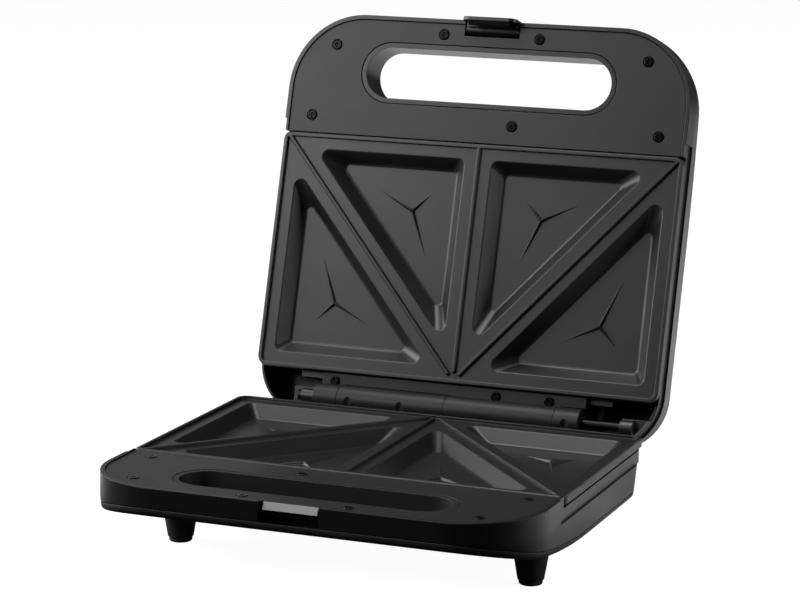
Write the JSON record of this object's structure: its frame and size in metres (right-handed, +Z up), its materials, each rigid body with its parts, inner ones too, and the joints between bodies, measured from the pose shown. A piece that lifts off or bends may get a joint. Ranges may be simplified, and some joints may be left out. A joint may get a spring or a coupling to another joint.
{
  "type": "sandwich toaster",
  "caption": "Hinged countertop sandwich toaster with triangular pressing plates, slotted handles, an edge latch and tapered feet.",
  "frame": {"origin": "middle of the bounding box in plan, on the surface the feet stand on, with the lid open on its stop", "axes": "+Z up, front with handles and latch towards -Y, +X to the right seen from the front"},
  "size_m": [0.2378, 0.297, 0.2617],
  "materials": {
    "shell_plastic": "moulded, satin to glossy",
    "panel_plastic": "moulded, fine satin",
    "nonstick_coating": "cast aluminium with sprayed non-stick coating",
    "black_screw": "black oxide steel",
    "element_steel": "bright drawn steel",
    "reflector_sheet": "rolled aluminised sheet",
    "bracket_coat": "die cast, dark coating",
    "catch_grey": "moulded light grey",
    "pad_rubber": "moulded rubber",
    "terminal_white": "moulded off-white",
    "lamp_lens": "moulded translucent red",
    "wire_insulation": "glass braid over copper"
  },
  "bodies": {
    "base": {"base_bracket_screws": "black_screw", "base_element": "element_steel", "base_hinge_bracket": "bracket_coat", "base_lead_sleeve": "pad_rubber", "base_panel": "panel_plastic", "base_panel_screws": "black_screw", "base_plate": "nonstick_coating", "base_plate_screws": "black_screw", "base_reflector": "reflector_sheet", "base_reflector_screws": "black_screw", "base_shell": "shell_plastic", "base_wires": "wire_insulation", "bottom_cover": "shell_plastic", "cord_inlet": "pad_rubber", "cover_screws": "black_screw", "foot_pads": "pad_rubber", "latch_catch": "catch_grey", "terminal_block": "terminal_white", "thermal_fuse": "element_steel", "thermostat": "element_steel"},
    "lid": {"lid_bracket_screws": "black_screw", "lid_element": "element_steel", "lid_hinge_bracket": "bracket_coat", "lid_lead_sleeve": "pad_rubber", "lid_panel": "panel_plastic", "lid_panel_screws": "black_screw", "lid_plate": "nonstick_coating", "lid_plate_screws": "black_screw", "lid_reflector": "reflector_sheet", "lid_reflector_screws": "black_screw", "lid_shell": "shell_plastic", "lid_wires": "wire_insulation", "hinge_pin": "element_steel", "lamp_lenses": "lamp_lens", "lamp_holder": "terminal_white", "latch_pin": "element_steel"},
    "latch_clip": {"latch": "shell_plastic"}
  },
  "joints": [
    {"name": "lid_hinge", "type": "hinge", "parent": "base", "child": "lid", "pos_m": [0, 0.07042, 0.04955], "axis": [1, 0, 0], "range_deg": [0, 106.7]},
    {"name": "latch_pivot", "type": "hinge", "parent": "lid", "child": "latch_clip", "pos_m": [0, 0.13769, 0.25237], "axis": [-1, 0, 0], "range_deg": [0, 25]}
  ]
}
